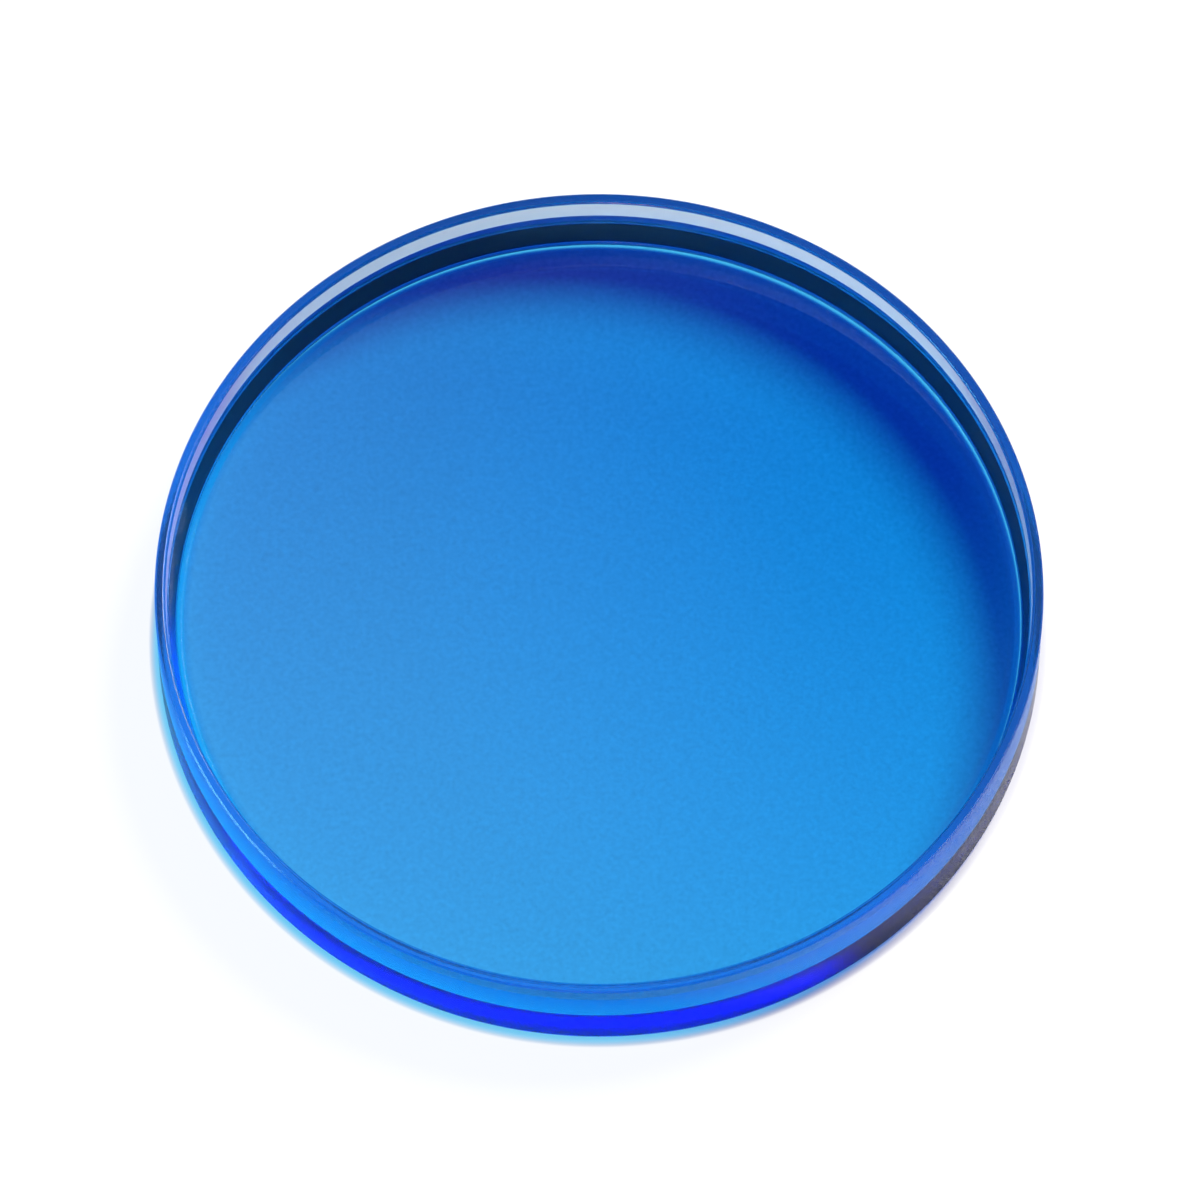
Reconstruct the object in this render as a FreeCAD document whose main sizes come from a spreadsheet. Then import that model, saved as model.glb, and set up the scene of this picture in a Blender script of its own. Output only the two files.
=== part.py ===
# Round optical filter of blue glass: a flat plate with a thin raised rim, moulded as one piece.
#
# The filter lies flat. The origin is the centre of its underside, and +Z points out of the
# recessed side. Lengths are in millimetres and angles in degrees.
import FreeCAD, Part
import Sketcher
import os

# Driving dimensions
SIZES = {
    "filter_diameter": 50.0,  # outside of the ground edge, which a filter holder takes
    "overall_height": 6.3,  # underside to the top of the rim
    "plate_thickness": 2.2,  # underside to the recessed face
    "rim_land": 0.6,  # flat ring on top of the rim, as wide as the rim is there
    "lip_depth": 1.5,  # height of the upright lip at the mouth of the recess
    "lip_flare": 0.05,  # how far the lip leans inwards on its way down
    "wall_draft": 10.5,  # angle of the recess wall below the lip
    "floor_fillet": 0.45,  # between that wall and the recessed face
    "land_round": 0.2,  # inner edge of the land
    "land_break": 0.1,  # outer edge of the land
    "foot_bevel": 0.3,  # edge of the underside
}
# The outline that cuts the recess runs on this far above the rim
CUT_OVERRUN = 1.0
# Edges are looked up by height, to within this distance
EDGE_TOLERANCE = 1e-4

# A sketch numbers the ends of a line from 1 up, and its own two axes from -1 down
LINE_START, LINE_END = range(1, 3)
SKETCH_HORIZONTAL_AXIS, SKETCH_VERTICAL_AXIS = range(-1, -3, -1)
SKETCH_ORIGIN = (SKETCH_HORIZONTAL_AXIS, LINE_START)

doc = FreeCAD.newDocument("optical_filter")


def make_sheet():
    """The spreadsheet of driving dimensions, with one alias for each size."""
    sheet = doc.addObject("Spreadsheet::Sheet", "Sizes")
    for row, (alias, value) in enumerate(SIZES.items(), start=1):
        sheet.set(f"A{row}", alias)
        sheet.set(f"B{row}", str(value))
        sheet.setAlias(f"B{row}", alias)
    doc.recompute()


def outline_sketch(body, name, corners):
    """A closed outline of straight lines on the body's XZ plane, as (radius, height) corners."""
    sketch = body.newObject("Sketcher::SketchObject", name)
    planes = body.Origin.OriginFeatures
    section_plane = next(plane for plane in planes if plane.Role == "XZ_Plane")
    sketch.AttachmentSupport = (section_plane, [""])
    sketch.MapMode = "FlatFace"
    count = len(corners)
    for index in range(count):
        start = FreeCAD.Vector(*corners[index], 0)
        end = FreeCAD.Vector(*corners[(index + 1) % count], 0)
        sketch.addGeometry(Part.LineSegment(start, end), False)
    for index in range(count):
        following = (index + 1) % count
        sketch.addConstraint(
            Sketcher.Constraint("Coincident", index, LINE_END, following, LINE_START)
        )
    return sketch


def level(sketch, *lines):
    """Keeps these lines of a sketch horizontal."""
    for line in lines:
        sketch.addConstraint(Sketcher.Constraint("Horizontal", line))


def upright(sketch, *lines):
    """Keeps these lines of a sketch vertical."""
    for line in lines:
        sketch.addConstraint(Sketcher.Constraint("Vertical", line))


def bind(sketch, name, constraint, expression):
    """Adds a dimension to a sketch and ties it to the spreadsheet."""
    index = sketch.addConstraint(constraint)
    sketch.renameConstraint(index, name)
    sketch.setExpression(f"Constraints.{name}", expression)


def blank_outline(body):
    """Half section of the plain disc that the filter is made from."""
    radius = SIZES["filter_diameter"] / 2
    height = SIZES["overall_height"]
    sketch = outline_sketch(
        body, "BlankOutline", [(0, 0), (radius, 0), (radius, height), (0, height)]
    )
    underside, edge, top, axis = range(4)
    level(sketch, underside, top)
    upright(sketch, edge, axis)
    sketch.addConstraint(
        Sketcher.Constraint("Coincident", underside, LINE_START, *SKETCH_ORIGIN)
    )
    bind(
        sketch,
        "outer_radius",
        Sketcher.Constraint("DistanceX", underside, LINE_START, underside, LINE_END, radius),
        "Sizes.filter_diameter / 2",
    )
    bind(
        sketch,
        "height",
        Sketcher.Constraint("DistanceY", edge, LINE_START, edge, LINE_END, height),
        "Sizes.overall_height",
    )
    return sketch


def recess_outline(body):
    """Half section of the recess: floor, drafted wall, lip and the way out above it."""
    floor_height = SIZES["plate_thickness"]
    rim_height = SIZES["overall_height"]
    mouth_radius = SIZES["filter_diameter"] / 2 - SIZES["rim_land"]
    lip_radius = mouth_radius - SIZES["lip_flare"]
    lip_height = rim_height - SIZES["lip_depth"]
    cut_height = rim_height + CUT_OVERRUN
    sketch = outline_sketch(
        body,
        "RecessOutline",
        [
            (0, floor_height),
            (lip_radius, floor_height),
            (lip_radius, lip_height),
            (mouth_radius, rim_height),
            (mouth_radius, cut_height),
            (0, cut_height),
        ],
    )
    floor, wall, lip, way_out, cover, axis = range(6)
    level(sketch, floor, cover)
    upright(sketch, way_out, axis)
    sketch.addConstraint(
        Sketcher.Constraint("PointOnObject", floor, LINE_START, SKETCH_VERTICAL_AXIS)
    )
    bind(
        sketch,
        "floor_height",
        Sketcher.Constraint("DistanceY", *SKETCH_ORIGIN, floor, LINE_START, floor_height),
        "Sizes.plate_thickness",
    )
    bind(
        sketch,
        "mouth_height",
        Sketcher.Constraint("DistanceY", *SKETCH_ORIGIN, lip, LINE_END, rim_height),
        "Sizes.overall_height",
    )
    bind(
        sketch,
        "mouth_radius",
        Sketcher.Constraint("DistanceX", *SKETCH_ORIGIN, lip, LINE_END, mouth_radius),
        "Sizes.filter_diameter / 2 - Sizes.rim_land",
    )
    bind(
        sketch,
        "lip_depth",
        Sketcher.Constraint("DistanceY", lip, LINE_START, lip, LINE_END, SIZES["lip_depth"]),
        "Sizes.lip_depth",
    )
    bind(
        sketch,
        "lip_flare",
        Sketcher.Constraint("DistanceX", lip, LINE_START, lip, LINE_END, SIZES["lip_flare"]),
        "Sizes.lip_flare",
    )
    steepness = FreeCAD.Units.Quantity(f"{90 - SIZES['wall_draft']} deg")
    bind(
        sketch,
        "wall_draft",
        Sketcher.Constraint("Angle", wall, steepness),
        "(90 - Sizes.wall_draft) * 1 deg",
    )
    sketch.addConstraint(
        Sketcher.Constraint("DistanceY", way_out, LINE_START, way_out, LINE_END, CUT_OVERRUN)
    )
    return sketch


def turned(body, kind, name, sketch):
    """Turns an outline once about the filter's axis, as a Revolution or a Groove."""
    feature = body.newObject(f"PartDesign::{kind}", name)
    feature.Profile = sketch
    feature.ReferenceAxis = (sketch, ["V_Axis"])
    feature.Angle = 360
    doc.recompute()
    return feature


def rings_at(shape, height):
    """Names of the circular edges at one height, the smallest circle first."""
    rings = []
    for index, edge in enumerate(shape.Edges, start=1):
        curve = edge.Curve
        if isinstance(curve, Part.Circle) and abs(curve.Center.z - height) < EDGE_TOLERANCE:
            rings.append((curve.Radius, f"Edge{index}"))
    return [name for _, name in sorted(rings)]


def edged(body, kind, name, base, ring, measure, alias):
    """Rounds or bevels one ring of the shape so far, by a size from the spreadsheet."""
    feature = body.newObject(f"PartDesign::{kind}", name)
    feature.Base = (base, [ring])
    feature.setExpression(measure, f"Sizes.{alias}")
    doc.recompute()
    return feature


def make_filter():
    """The filter as one body: a turned blank, a turned recess, then its four edges."""
    body = doc.addObject("PartDesign::Body", "FilterGlass")
    body.Label = "filter_glass"
    blank = turned(body, "Revolution", "Blank", blank_outline(body))
    recess = turned(body, "Groove", "Recess", recess_outline(body))
    if recess.Shape.Volume >= blank.Shape.Volume:
        raise RuntimeError("The recess cut nothing")

    floor_ring = rings_at(recess.Shape, SIZES["plate_thickness"])[0]
    fillet = edged(body, "Fillet", "FloorFillet", recess, floor_ring, "Radius", "floor_fillet")
    mouth_ring = rings_at(fillet.Shape, SIZES["overall_height"])[0]
    land_round = edged(body, "Fillet", "LandRound", fillet, mouth_ring, "Radius", "land_round")
    rim_ring = rings_at(land_round.Shape, SIZES["overall_height"])[-1]
    land_break = edged(body, "Chamfer", "LandBreak", land_round, rim_ring, "Size", "land_break")
    foot_ring = rings_at(land_break.Shape, 0)[-1]
    edged(body, "Chamfer", "FootBevel", land_break, foot_ring, "Size", "foot_bevel")
    return body


def check_document(bodies):
    """Stops if any object failed to compute, or if a body has no sound solid."""
    for item in doc.Objects:
        if "Invalid" in item.State or "Error" in item.State:
            raise RuntimeError(f"{item.Name} failed: {item.State}")
    for body in bodies:
        if body.Shape.isNull() or not body.Shape.isValid():
            raise RuntimeError(f"{body.Label} has no valid shape")


make_sheet()
filter_body = make_filter()
doc.recompute()
check_document([filter_body])

os.makedirs("parts", exist_ok=True)
filter_body.Shape.exportStep(f"parts/{filter_body.Label}.step")
box = filter_body.Shape.optimalBoundingBox()
print(f"{filter_body.Label}: {box.XLength:.2f} x {box.YLength:.2f} x {box.ZLength:.2f} mm")
print(f"volume {filter_body.Shape.Volume:.1f} mm3, solids {len(filter_body.Shape.Solids)}")
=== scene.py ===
# Round blue glass optical filter, seen lying on a white table in soft studio light.
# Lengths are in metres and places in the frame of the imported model: the origin is the centre
# of the underside, and +Z points out of the recessed side. Azimuths are in degrees and count
# from +X towards +Y.
import math

import bmesh
import bpy
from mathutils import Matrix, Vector


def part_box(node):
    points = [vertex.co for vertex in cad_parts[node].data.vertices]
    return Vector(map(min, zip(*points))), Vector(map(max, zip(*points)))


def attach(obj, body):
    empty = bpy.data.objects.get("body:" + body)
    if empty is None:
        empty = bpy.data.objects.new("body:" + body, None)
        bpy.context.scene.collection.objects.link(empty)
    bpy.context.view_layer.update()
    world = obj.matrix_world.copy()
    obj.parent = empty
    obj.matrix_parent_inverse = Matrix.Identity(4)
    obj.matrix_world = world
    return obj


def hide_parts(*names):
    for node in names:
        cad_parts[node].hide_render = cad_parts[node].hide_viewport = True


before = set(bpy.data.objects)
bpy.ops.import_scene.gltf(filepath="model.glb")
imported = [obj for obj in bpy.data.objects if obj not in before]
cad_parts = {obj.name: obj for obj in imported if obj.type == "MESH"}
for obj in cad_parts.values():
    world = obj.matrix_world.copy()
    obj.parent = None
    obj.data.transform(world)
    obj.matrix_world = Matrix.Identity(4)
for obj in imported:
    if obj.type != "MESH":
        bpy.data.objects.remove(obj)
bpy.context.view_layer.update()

MM = 0.001

# Section of the filter. Its diameter and height come from the frame.
low_corner, high_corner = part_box("filter_glass")
FILTER_RADIUS = (high_corner[0] - low_corner[0]) / 2
RIM_HEIGHT = high_corner[2]
PLATE_THICKNESS = 2.2 * MM
RIM_LAND = 0.6 * MM
LIP_DEPTH = 1.5 * MM
LIP_FLARE = 0.05 * MM
WALL_DRAFT = math.radians(10.5)
FLOOR_FILLET = 0.45 * MM
LAND_ROUND = 0.2 * MM
LAND_BREAK = 0.1 * MM
FOOT_BEVEL = 0.3 * MM

# The turned mesh. It is shaded smooth where the section turns by less than SHARP_TURN.
SEGMENTS = 576
ARC_STEPS = 24
SHARP_TURN = math.radians(5)
# The face has one more ring, at this share of its radius
FACE_RING_SHARE = 0.5

# The photograph's camera. Pixels are in its 1200 x 1200 frame.
PHOTO_SIDE_PX = 1200
RIM_CENTRE_PX = (599.0, 586.3)
RIM_RADIUS_PX = 444.5
CAMERA_ELEVATION = math.radians(64.05)
CAMERA_DISTANCE = 13 * 2 * FILTER_RADIUS
SENSOR_WIDTH = 36.0

# Blue glass. Red is absorbed most, then green, and blue hardly at all.
GLASS_IOR = 1.52
ABSORPTION_COLOUR = (0.0, 0.79, 0.972)
ABSORPTION_DENSITY = 1100.0

# Fine grain that roughens and shades the ground surfaces, and wider blotches in their roughness
GRAIN_SIZE = 0.3 * MM
GRAIN_DETAIL = 2.0
GRAIN_DEPTH = 0.02 * MM
GRAIN_SHADE = (0.85, 1.0)
BLOTCH_SIZE = 3 * MM
BLOTCH_DETAIL = 3.0
BLOTCH_ROUGHNESS = (0.9, 1.1)
# Nearly all values of a noise lie between these two
NOISE_RANGE = (0.3, 0.7)

# Zones of the section, in order from the middle of the underside round to the middle of the face
ZONES = ("underside", "edge", "land", "lip", "wall", "face")
# This attribute holds the zone's number plus the share of the zone's length passed so far
PLACE_ATTRIBUTE = "place_along_section"
# Two zones blend over this share of a zone's length, at each side of their border
ZONE_SEAM = 0.001

WHITE = (1.0, 1.0, 1.0)
CLEAR = (0.96, 0.98, 1.0)
SHADED = (0.12, 0.13, 0.42)
FILLET_BLUE = (0.0, 0.15, 0.5)

# Each zone's finish, as one value or as (share of the zone's length, value) steps:
# - roughness and grain: how rough it is and how strongly the grain shows
# - colour: tints what passes the surface
# - coating: share of the reflection that a coating takes off its outside
# - haze and haze_colour: share of light from outside that it scatters both ways, and its tint
# - lamp_tint: what lamp light keeps as it passes on its way to the table
POLISHED = dict(
    roughness=0.04,
    grain=0.05,
    colour=WHITE,
    coating=0.0,
    haze=0.0,
    haze_colour=WHITE,
    lamp_tint=CLEAR,
)
SURFACES = {
    "underside": POLISHED,
    "edge": dict(
        roughness=0.06,
        grain=0.15,
        colour=WHITE,
        coating=0.5,
        haze=[(0.0, 0.01), (0.5, 0.01), (0.55, 0.1), (1.0, 0.1)],
        haze_colour=(0.0, 0.55, 1.0),
        lamp_tint=[(0.0, CLEAR), (0.07, CLEAR), (0.13, SHADED), (1.0, SHADED)],
    ),
    "land": dict(
        roughness=0.2,
        grain=0.4,
        colour=(1.0, 0.75, 0.75),
        coating=0.6,
        haze=0.05,
        haze_colour=(0.0, 0.6, 1.0),
        lamp_tint=SHADED,
    ),
    "lip": dict(
        roughness=0.06,
        grain=0.1,
        colour=(1.0, 0.3, 0.32),
        coating=0.5,
        haze=0.25,
        haze_colour=(1.0, 0.7, 0.7),
        lamp_tint=CLEAR,
    ),
    "wall": dict(
        roughness=0.08,
        grain=0.05,
        colour=[(0.0, WHITE), (0.75, WHITE), (0.8, FILLET_BLUE), (1.0, FILLET_BLUE)],
        coating=[(0.0, 0.6), (0.75, 0.6), (0.8, 0.95), (1.0, 0.95)],
        haze=0.03,
        haze_colour=(0.1, 0.5, 1.0),
        lamp_tint=CLEAR,
    ),
    "face": dict(POLISHED, roughness=0.0),
}

# The table. The camera sees TABLE_LIT_SHARE of it as it is lit, and the rest as even white.
# Within CONTACT_WIDTH of the filter the white fades out, by the power CONTACT_FALLOFF.
TABLE_SIDE = 4.0
TABLE_GAP = 0.02 * MM
TABLE_COLOUR = (0.69, 0.69, 0.69)
TABLE_LIT_SHARE = 0.22
TABLE_WHITE = 1.15
CONTACT_WIDTH = 0.55 * MM
CONTACT_FALLOFF = 2.0
# A glow painted on the table beneath the glass, for the light it gathers. It grows along an
# azimuth.
PAINTED_CAUSTIC_AZIMUTH = 258
PAINTED_CAUSTIC_REACH = (-14 * MM, 25 * MM)
PAINTED_CAUSTIC_LEVEL = 0.3
PAINTED_CAUSTIC_COLOUR = (0.0, 0.95, 0.8)

# The world. Mirror and glass rays see a white backdrop up to BACKDROP_TOP, and the dimmer
# ceiling from CEILING_START up, both as the sine of an elevation. Scattered light sees it all
# at SKY_LEVEL.
BACKDROP_LEVEL = 1.0
BACKDROP_TOP = math.sin(math.radians(12))
CEILING_LEVEL = 0.02
CEILING_START = math.sin(math.radians(30))
SKY_LEVEL = 0.06

# Soft cards over the filter. Each is seen only in reflections, or only in the glass by light
# that ran along inside it and met its surfaces more often than GUIDED_BENDS.
CARD_HEIGHT = 0.27
GUIDED_BENDS = 6.5
CARDS = {
    "sheen_card": dict(
        centre=(-0.096, 0.069),
        azimuth=213,
        size=(0.272, 0.4),
        fade=0.06,
        level=1.3,
        seen_in="reflections",
    ),
    "edge_card": dict(
        centre=(0.03, 0.111), azimuth=75, size=(0.1, 0.24), fade=0.02, level=13.0, seen_in="glass"
    ),
}

LAMPS = {
    "key": dict(azimuth=47, elevation=50, distance=0.6, size=0.26, power=5.5, colour=WHITE),
    "side_fill": dict(azimuth=-10, elevation=15, distance=0.6, size=0.3, power=0.8, colour=WHITE),
    "near_fill": dict(
        azimuth=192, elevation=12, distance=0.4, size=0.2, power=2.0, colour=(0.3, 0.9, 1.0)
    ),
    "lip_fill": dict(
        azimuth=265, elevation=8, distance=0.4, size=0.1, power=0.8, colour=(1.0, 0.4, 0.35)
    ),
}

# Light runs along inside the plate and the rim, so rays may turn back many times. Where the
# table or haze scatters them, the lamps and the sky light the place, and the rays end.
MOST_BOUNCES = 20
SCATTERED_BOUNCES = 0
# Halfway between a node's no (0) and yes (1), and between none and one of what it counts
NO_OR_YES = 0.5


def arc(centre, radius, start, end):
    """Points on an arc of the section, from one angle to another, in degrees."""
    points = []
    for step in range(ARC_STEPS + 1):
        angle = math.radians(start + (end - start) * step / ARC_STEPS)
        points.append((centre[0] + radius * math.cos(angle), centre[1] + radius * math.sin(angle)))
    return points


def filter_section():
    """The section as (zone, points), from the middle of the underside round to the middle of
    the recessed face. Each zone starts where the one before it ends."""
    mouth_radius = FILTER_RADIUS - RIM_LAND
    lip_radius = mouth_radius - LIP_FLARE
    lip_height = RIM_HEIGHT - LIP_DEPTH
    lip_lean = math.atan2(LIP_FLARE, LIP_DEPTH)

    # Round at the land's inner edge, tangent to the land and to the leaning lip
    round_reach = LAND_ROUND * math.tan((math.pi / 2 - lip_lean) / 2)
    round_centre = (mouth_radius + round_reach, RIM_HEIGHT - LAND_ROUND)
    land_round = arc(round_centre, LAND_ROUND, 90, 180 - math.degrees(lip_lean))

    # Fillet between the drafted wall and the face
    wall_foot = lip_radius - (lip_height - PLATE_THICKNESS) * math.tan(WALL_DRAFT)
    fillet_reach = FLOOR_FILLET * math.tan((math.pi / 2 - WALL_DRAFT) / 2)
    fillet_centre = (wall_foot - fillet_reach, PLATE_THICKNESS + FLOOR_FILLET)
    floor_fillet = arc(fillet_centre, FLOOR_FILLET, -math.degrees(WALL_DRAFT), -90)
    face_radius = floor_fillet[-1][0]
    face_ring = (face_radius * FACE_RING_SHARE, PLATE_THICKNESS)

    outlines = (
        [(0.0, 0.0), (face_radius, 0.0), (FILTER_RADIUS - FOOT_BEVEL, 0.0)],
        [(FILTER_RADIUS, FOOT_BEVEL), (FILTER_RADIUS, RIM_HEIGHT - LAND_BREAK)],
        [(FILTER_RADIUS - LAND_BREAK, RIM_HEIGHT)] + land_round,
        [(lip_radius, lip_height)],
        floor_fillet,
        [face_ring, (0.0, PLATE_THICKNESS)],
    )
    return list(zip(ZONES, outlines))


def place_along_section(section):
    """Every point of the section with its place along the section."""
    path = []
    for zone_index, (_, points) in enumerate(section):
        start = path[-1][0] if path else points[0]
        lengths = [0.0]
        for here, after in zip([start] + points, points):
            lengths.append(lengths[-1] + math.dist(here, after))
        for point, length in zip(points, lengths[1:]):
            path.append((point, zone_index + length / lengths[-1]))
    return path


def turn_of(before, here, after):
    """How sharply the section turns at a point."""
    first = math.atan2(here[1] - before[1], here[0] - before[0])
    second = math.atan2(after[1] - here[1], after[0] - here[0])
    return abs(math.remainder(second - first, 2 * math.pi))


def ring_of(mesh, radius, height):
    """One ring of vertices, or a single one on the axis."""
    if radius == 0:
        return [mesh.verts.new((0, 0, height))]
    ring = []
    for index in range(SEGMENTS):
        angle = 2 * math.pi * index / SEGMENTS
        ring.append(mesh.verts.new((radius * math.cos(angle), radius * math.sin(angle), height)))
    return ring


def bridge(mesh, outer, inner):
    """Smooth faces between two rings, either of which may be a single vertex."""
    for corner in range(SEGMENTS):
        following = (corner + 1) % SEGMENTS
        if len(outer) == 1:
            corners = (outer[0], inner[following], inner[corner])
        elif len(inner) == 1:
            corners = (outer[corner], outer[following], inner[0])
        else:
            corners = (outer[corner], outer[following], inner[following], inner[corner])
        mesh.faces.new(corners).smooth = True


def make_sharp(ring):
    """Marks the edges of one ring as sharp."""
    vertices = set(ring)
    for vertex in ring:
        for edge in vertex.link_edges:
            if edge.other_vert(vertex) in vertices:
                edge.smooth = False


def make_filter_mesh(section):
    """The filter's closed mesh. An attribute keeps each vertex's place along the section."""
    mesh = bmesh.new()
    place_layer = mesh.verts.layers.float.new(PLACE_ATTRIBUTE)
    path = place_along_section(section)
    rings = []
    for (radius, height), place in path:
        ring = ring_of(mesh, radius, height)
        for vertex in ring:
            vertex[place_layer] = place
        rings.append(ring)
    for outer, inner in zip(rings, rings[1:]):
        bridge(mesh, outer, inner)
    points = [point for point, _ in path]
    for before, here, after, ring in zip(points, points[1:], points[2:], rings[1:]):
        if turn_of(before, here, after) > SHARP_TURN:
            make_sharp(ring)
    bmesh.ops.recalc_face_normals(mesh, faces=mesh.faces)
    data = bpy.data.meshes.new("filter_glass_turned")
    mesh.to_mesh(data)
    mesh.free()
    return data


def add_object(name, data):
    """A new object in the scene."""
    item = bpy.data.objects.new(name, data)
    bpy.context.scene.collection.objects.link(item)
    return item


def add_sheet(name, length, width):
    """A flat rectangle about its own centre."""
    x, y = length / 2, width / 2
    data = bpy.data.meshes.new(name)
    data.from_pydata([(-x, -y, 0), (x, -y, 0), (x, y, 0), (-x, y, 0)], [], [(0, 1, 2, 3)])
    return add_object(name, data)


def add_node(tree, kind, **settings):
    """A shader node with some of its properties set."""
    node = tree.nodes.new(kind)
    for name, value in settings.items():
        setattr(node, name, value)
    return node


def new_material(name):
    """A material with nothing but its output, as (material, node tree, output)."""
    material = bpy.data.materials.new(name)
    material.use_nodes = True
    tree = material.node_tree
    tree.nodes.clear()
    return material, tree, add_node(tree, "ShaderNodeOutputMaterial")


def noise(tree, coordinates, size, detail):
    """Soft noise whose blobs are about this many metres across."""
    node = add_node(tree, "ShaderNodeTexNoise")
    node.inputs["Scale"].default_value = 1 / size
    node.inputs["Detail"].default_value = detail
    tree.links.new(coordinates, node.inputs["Vector"])
    return node.outputs["Fac"]


def spread(tree, source, results, between=NOISE_RANGE):
    """Maps what lies between two values to a pair of results, and holds those beyond."""
    node = add_node(tree, "ShaderNodeMapRange")
    for name, value in zip(("From Min", "From Max", "To Min", "To Max"), (*between, *results)):
        node.inputs[name].default_value = value
    tree.links.new(source, node.inputs["Value"])
    return node.outputs["Result"]


def maths(tree, operation, first, second):
    """A sum, product or the like of a value and another value or number."""
    node = add_node(tree, "ShaderNodeMath", operation=operation)
    tree.links.new(first, node.inputs[0])
    if isinstance(second, float):
        node.inputs[1].default_value = second
    else:
        tree.links.new(second, node.inputs[1])
    return node.outputs["Value"]


def value_mix(tree, factor, first, second):
    """Blends a value and a number by a factor."""
    node = add_node(tree, "ShaderNodeMix", data_type="FLOAT")
    tree.links.new(factor, node.inputs["Factor"])
    tree.links.new(first, node.inputs["A"])
    node.inputs["B"].default_value = second
    return node.outputs["Result"]


def tint(tree, colour, factor):
    """A colour made darker by a factor."""
    node = add_node(tree, "ShaderNodeMix", data_type="RGBA", blend_type="MULTIPLY")
    node.inputs["Factor"].default_value = 1.0
    tree.links.new(colour, node.inputs["A"])
    tree.links.new(factor, node.inputs["B"])
    return node.outputs["Result"]


def shader_mix(tree, factor, first, second):
    """A blend of two shader nodes by a factor."""
    mix = add_node(tree, "ShaderNodeMixShader")
    tree.links.new(factor, mix.inputs["Fac"])
    tree.links.new(first.outputs[0], mix.inputs[1])
    tree.links.new(second.outputs[0], mix.inputs[2])
    return mix


def shader_sum(tree, first, second):
    """Two shader nodes added together."""
    total = add_node(tree, "ShaderNodeAddShader")
    tree.links.new(first.outputs[0], total.inputs[0])
    tree.links.new(second.outputs[0], total.inputs[1])
    return total


def along_section(tree, place, quality):
    """A value or colour that changes along the section, as SURFACES says for each zone."""
    ramp = add_node(tree, "ShaderNodeValToRGB")
    stops = []
    for index, zone in enumerate(ZONES):
        steps = SURFACES[zone][quality]
        if not isinstance(steps, list):
            steps = [(0.0, steps), (1.0, steps)]
        for share, value in steps:
            colour = value if isinstance(value, tuple) else (value, value, value)
            share = min(max(share, ZONE_SEAM), 1 - ZONE_SEAM)
            stops.append(((index + share) / len(ZONES), (*colour, 1)))
    elements = ramp.color_ramp.elements
    while len(elements) < len(stops):
        elements.new(1.0)
    for element, (position, colour) in zip(elements, stops):
        element.position = position
        element.color = colour
    tree.links.new(maths(tree, "DIVIDE", place, float(len(ZONES))), ramp.inputs["Fac"])
    return ramp.outputs["Color"]


def seen_directly(tree):
    """One for light that comes straight or through the glass, and zero for what the table has
    scattered. The lamps' light on the table passes the glass as shadow rays do, and so it isn't
    counted again."""
    depth = add_node(tree, "ShaderNodeLightPath").outputs["Diffuse Depth"]
    return maths(tree, "LESS_THAN", depth, NO_OR_YES)


def blue_glass():
    """Blue glass, polished or ground by zone. Lamp light passes it with a tint, so that the
    table under it is lit. One material holds it all, so that the glass has one inside."""
    material, tree, output = new_material("blue_glass_turned")
    spot = add_node(tree, "ShaderNodeTexCoord").outputs["Object"]
    place = add_node(tree, "ShaderNodeAttribute", attribute_name=PLACE_ATTRIBUTE).outputs["Fac"]
    grain = noise(tree, spot, GRAIN_SIZE, GRAIN_DETAIL)
    blotches = noise(tree, spot, BLOTCH_SIZE, BLOTCH_DETAIL)
    bump = add_node(tree, "ShaderNodeBump")
    bump.inputs["Distance"].default_value = GRAIN_DEPTH
    tree.links.new(along_section(tree, place, "grain"), bump.inputs["Strength"])
    tree.links.new(grain, bump.inputs["Height"])
    roughness = along_section(tree, place, "roughness")
    roughness = maths(tree, "MULTIPLY", roughness, spread(tree, blotches, BLOTCH_ROUGHNESS))

    # Plain glass, and glass under a coating that lets everything in
    plain = add_node(tree, "ShaderNodeBsdfPrincipled")
    plain.inputs["Transmission Weight"].default_value = 1.0
    colour = tint(tree, along_section(tree, place, "colour"), spread(tree, grain, GRAIN_SHADE))
    tree.links.new(colour, plain.inputs["Base Color"])
    coated = add_node(tree, "ShaderNodeBsdfRefraction")
    for glass in (plain, coated):
        glass.inputs["IOR"].default_value = GLASS_IOR
        tree.links.new(roughness, glass.inputs["Roughness"])

    # Haze scatters light to both sides of the surface
    reflected = add_node(tree, "ShaderNodeBsdfDiffuse")
    passed_on = add_node(tree, "ShaderNodeBsdfTranslucent")
    haze_colour = along_section(tree, place, "haze_colour")
    for half in (reflected, passed_on):
        tree.links.new(haze_colour, half.inputs["Color"])
    for shader in (plain, coated, reflected, passed_on):
        tree.links.new(bump.outputs["Normal"], shader.inputs["Normal"])

    # Coating and haze act on light from outside, and lamp light passes straight through
    backfacing = add_node(tree, "ShaderNodeNewGeometry").outputs["Backfacing"]
    outside = maths(tree, "LESS_THAN", backfacing, NO_OR_YES)
    coating = maths(tree, "MULTIPLY", along_section(tree, place, "coating"), outside)
    haze = maths(tree, "MULTIPLY", along_section(tree, place, "haze"), outside)
    lamps = add_node(tree, "ShaderNodeBsdfTransparent")
    tree.links.new(along_section(tree, place, "lamp_tint"), lamps.inputs["Color"])
    is_lamp_light = add_node(tree, "ShaderNodeLightPath").outputs["Is Shadow Ray"]
    surface = shader_mix(tree, coating, plain, coated)
    surface = shader_mix(tree, haze, surface, shader_sum(tree, reflected, passed_on))
    surface = shader_mix(tree, is_lamp_light, surface, lamps)
    tree.links.new(surface.outputs[0], output.inputs["Surface"])

    inside = add_node(tree, "ShaderNodeVolumeAbsorption")
    inside.inputs["Color"].default_value = (*ABSORPTION_COLOUR, 1)
    inside.inputs["Density"].default_value = ABSORPTION_DENSITY
    tree.links.new(inside.outputs["Volume"], output.inputs["Volume"])
    return material


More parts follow.
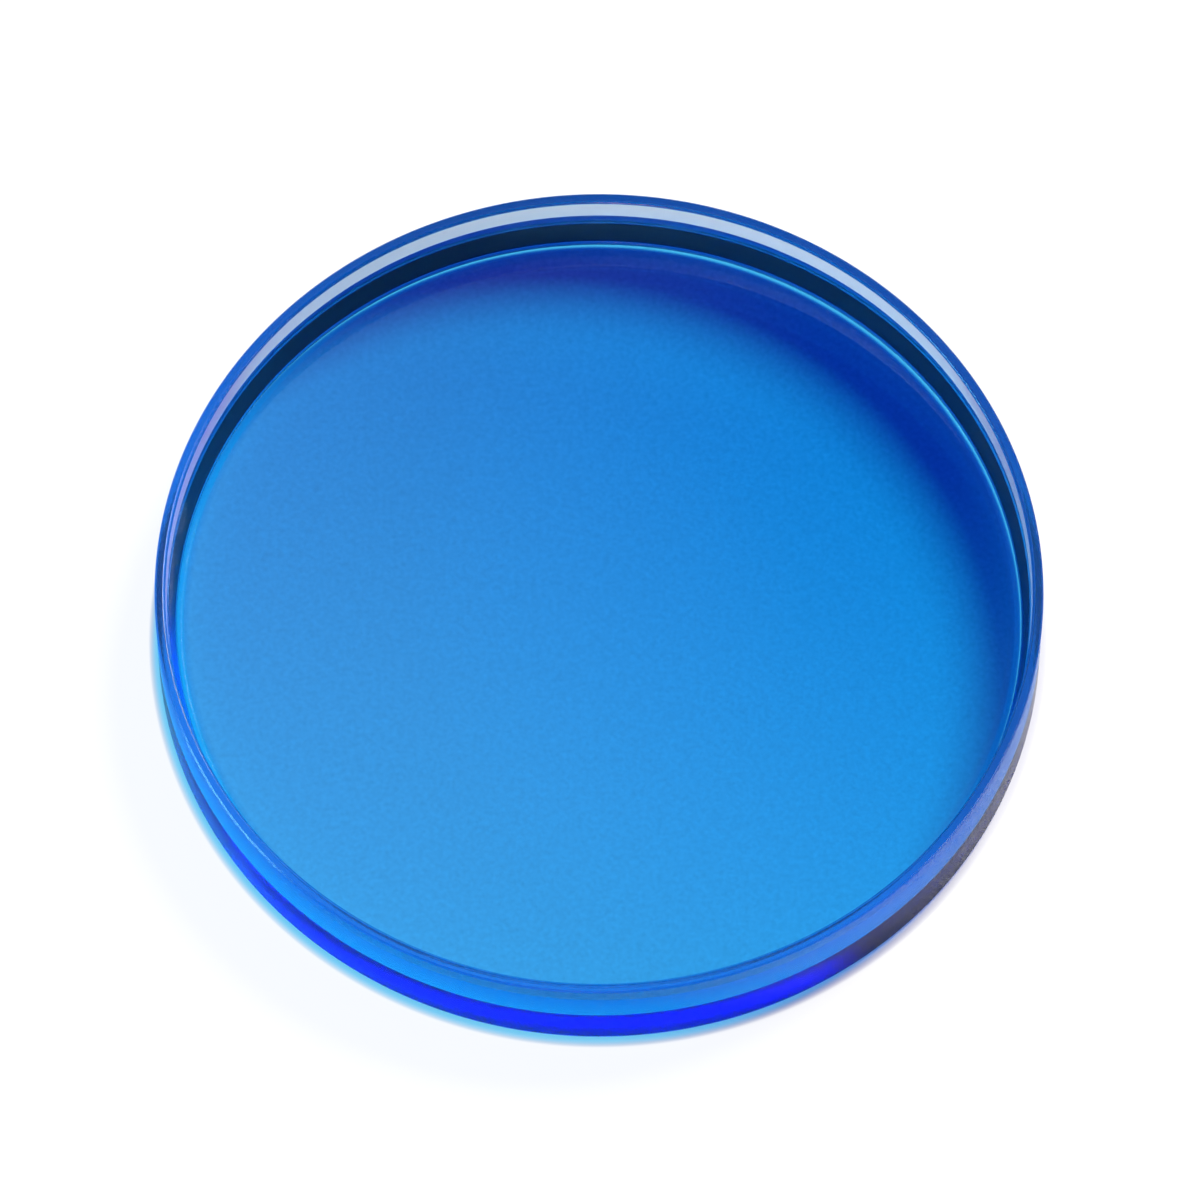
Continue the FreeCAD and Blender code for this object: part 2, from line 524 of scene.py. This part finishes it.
def make_filter():
    """The glass, turned finely, in place of the plainer solid."""
    piece = add_object("filter_glass_turned", make_filter_mesh(filter_section()))
    piece.data.materials.append(blue_glass())
    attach(piece, "root")
    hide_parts("filter_glass")


def painted_caustic_glow(tree, spot, radius):
    """Painted glow on the table under the glass, for the light that the glass gathers, as a shader
    node.
    """
    direction = math.radians(PAINTED_CAUSTIC_AZIMUTH)
    along = add_node(tree, "ShaderNodeVectorMath", operation="DOT_PRODUCT")
    along.inputs[1].default_value = (math.cos(direction), math.sin(direction), 0)
    tree.links.new(spot, along.inputs[0])
    strength = spread(tree, along.outputs["Value"], (0.0, PAINTED_CAUSTIC_LEVEL), PAINTED_CAUSTIC_REACH)
    under = maths(tree, "LESS_THAN", radius, FILTER_RADIUS - FOOT_BEVEL)
    strength = maths(tree, "MULTIPLY", strength, under)
    strength = maths(tree, "MULTIPLY", strength, seen_directly(tree))
    # The glow is painted as emission on the table
    glow = add_node(tree, "ShaderNodeEmission")
    glow.inputs["Color"].default_value = (*PAINTED_CAUSTIC_COLOUR, 1)
    tree.links.new(strength, glow.inputs["Strength"])
    return glow


def white_table():
    """White paper, lit by the lamps, with a glow painted beneath the glass for what the glass
    gathers.
    The camera sees most of it as even white, which keeps the filter's shadow soft."""
    material, tree, output = new_material("white_table")
    paper = add_node(tree, "ShaderNodeBsdfDiffuse")
    paper.inputs["Color"].default_value = (*TABLE_COLOUR, 1)
    white = add_node(tree, "ShaderNodeEmission")
    white.inputs["Strength"].default_value = TABLE_WHITE
    spot = add_node(tree, "ShaderNodeTexCoord").outputs["Object"]
    reach = add_node(tree, "ShaderNodeVectorMath", operation="LENGTH")
    tree.links.new(spot, reach.inputs[0])
    radius = reach.outputs["Value"]
    contact = (FILTER_RADIUS, FILTER_RADIUS + CONTACT_WIDTH)
    share = maths(tree, "POWER", spread(tree, radius, (0.0, 1.0), contact), CONTACT_FALLOFF)
    share = maths(tree, "MULTIPLY", share, 1 - TABLE_LIT_SHARE)
    is_camera_ray = add_node(tree, "ShaderNodeLightPath").outputs["Is Camera Ray"]
    share = maths(tree, "MULTIPLY", share, is_camera_ray)
    surface = shader_mix(tree, share, paper, white)
    # A glow painted on the table under the glass stands in for the light that the glass gathers
    surface = shader_sum(tree, surface, painted_caustic_glow(tree, spot, radius))
    tree.links.new(surface.outputs[0], output.inputs["Surface"])
    return material


def make_table():
    """A plain white table under the filter."""
    table = add_sheet("table_top", TABLE_SIDE, TABLE_SIDE)
    table.location = (0, 0, -TABLE_GAP)
    table.data.materials.append(white_table())


def make_card(name, centre, azimuth, size, fade, level, seen_in):
    """A soft white card over the filter. Its light grows along its own X, from the ceiling's
    level to its own, within the fade."""
    card = add_sheet(name, *size)
    card.location = (*centre, CARD_HEIGHT)
    card.rotation_euler = (0, 0, math.radians(azimuth))
    material, tree, output = new_material(name)
    parts = add_node(tree, "ShaderNodeSeparateXYZ")
    tree.links.new(add_node(tree, "ShaderNodeTexCoord").outputs["Object"], parts.inputs["Vector"])
    start = -size[0] / 2
    strength = spread(tree, parts.outputs["X"], (CEILING_LEVEL, level), (start, start + fade))
    strength = maths(tree, "MULTIPLY", strength, seen_directly(tree))
    if seen_in == "glass":
        bends = add_node(tree, "ShaderNodeLightPath").outputs["Ray Depth"]
        guided = maths(tree, "GREATER_THAN", bends, GUIDED_BENDS)
        strength = maths(tree, "MULTIPLY", strength, guided)
    light = add_node(tree, "ShaderNodeEmission")
    tree.links.new(strength, light.inputs["Strength"])
    tree.links.new(light.outputs["Emission"], output.inputs["Surface"])
    card.data.materials.append(material)
    card.visible_camera = False
    card.visible_diffuse = False
    card.visible_shadow = False
    card.visible_glossy = seen_in == "reflections"
    card.visible_transmission = seen_in == "glass"


def make_world():
    """Even light for the table. Camera rays see white, and mirror and glass rays see a white
    backdrop under a dimmer ceiling."""
    world = bpy.data.worlds.new("studio")
    bpy.context.scene.world = world
    world.use_nodes = True
    world.cycles.sampling_method = "NONE"
    tree = world.node_tree
    tree.nodes.clear()
    parts = add_node(tree, "ShaderNodeSeparateXYZ")
    direction = add_node(tree, "ShaderNodeTexCoord").outputs["Generated"]
    tree.links.new(direction, parts.inputs["Vector"])
    levels = (BACKDROP_LEVEL, CEILING_LEVEL)
    studio = spread(tree, parts.outputs["Z"], levels, (BACKDROP_TOP, CEILING_START))
    path = add_node(tree, "ShaderNodeLightPath")
    scattered = maths(tree, "GREATER_THAN", path.outputs["Diffuse Depth"], NO_OR_YES)
    level = value_mix(tree, scattered, studio, SKY_LEVEL)
    level = value_mix(tree, path.outputs["Is Camera Ray"], level, 1.0)
    background = add_node(tree, "ShaderNodeBackground")
    background.inputs["Color"].default_value = (*WHITE, 1)
    tree.links.new(level, background.inputs["Strength"])
    output = add_node(tree, "ShaderNodeOutputWorld")
    tree.links.new(background.outputs["Background"], output.inputs["Surface"])


def make_lamp(name, azimuth, elevation, distance, size, power, colour):
    """A round soft lamp that faces the filter."""
    across, up = math.radians(azimuth), math.radians(elevation)
    direction = Vector(
        (math.cos(up) * math.cos(across), math.cos(up) * math.sin(across), math.sin(up))
    )
    data = bpy.data.lights.new(name, "AREA")
    data.shape = "DISK"
    data.size = size
    data.energy = power
    data.color = colour
    data.use_nodes = True
    tree = data.node_tree
    emission = next(node for node in tree.nodes if node.type == "EMISSION")
    tree.links.new(seen_directly(tree), emission.inputs["Strength"])
    lamp = add_object(name, data)
    lamp.visible_camera = False
    lamp.visible_transmission = False
    lamp.location = direction * distance
    lamp.rotation_euler = direction.to_track_quat("Z", "Y").to_euler()


def make_camera():
    """The photograph's view: the rim's circle falls where the photograph shows it."""
    data = bpy.data.cameras.new("camera")
    camera = add_object("camera", data)
    back = Vector((0, -math.cos(CAMERA_ELEVATION), math.sin(CAMERA_ELEVATION)))
    camera.location = Vector((0, 0, RIM_HEIGHT)) + back * CAMERA_DISTANCE
    camera.rotation_euler = back.to_track_quat("Z", "Y").to_euler()
    frame_width = PHOTO_SIDE_PX * FILTER_RADIUS / RIM_RADIUS_PX
    data.sensor_width = SENSOR_WIDTH
    data.lens = SENSOR_WIDTH * CAMERA_DISTANCE / frame_width
    data.shift_x = (PHOTO_SIDE_PX / 2 - RIM_CENTRE_PX[0]) / PHOTO_SIDE_PX
    data.shift_y = (RIM_CENTRE_PX[1] - PHOTO_SIDE_PX / 2) / PHOTO_SIDE_PX
    bpy.context.scene.camera = camera


make_filter()
make_table()
for card_name, card_settings in CARDS.items():
    make_card(card_name, **card_settings)
make_world()
for lamp_name, lamp_settings in LAMPS.items():
    make_lamp(lamp_name, **lamp_settings)
make_camera()
bpy.context.scene.view_settings.view_transform = "Standard"
tracing = bpy.context.scene.cycles
tracing.max_bounces = MOST_BOUNCES
tracing.glossy_bounces = MOST_BOUNCES
tracing.transmission_bounces = MOST_BOUNCES
tracing.diffuse_bounces = SCATTERED_BOUNCES
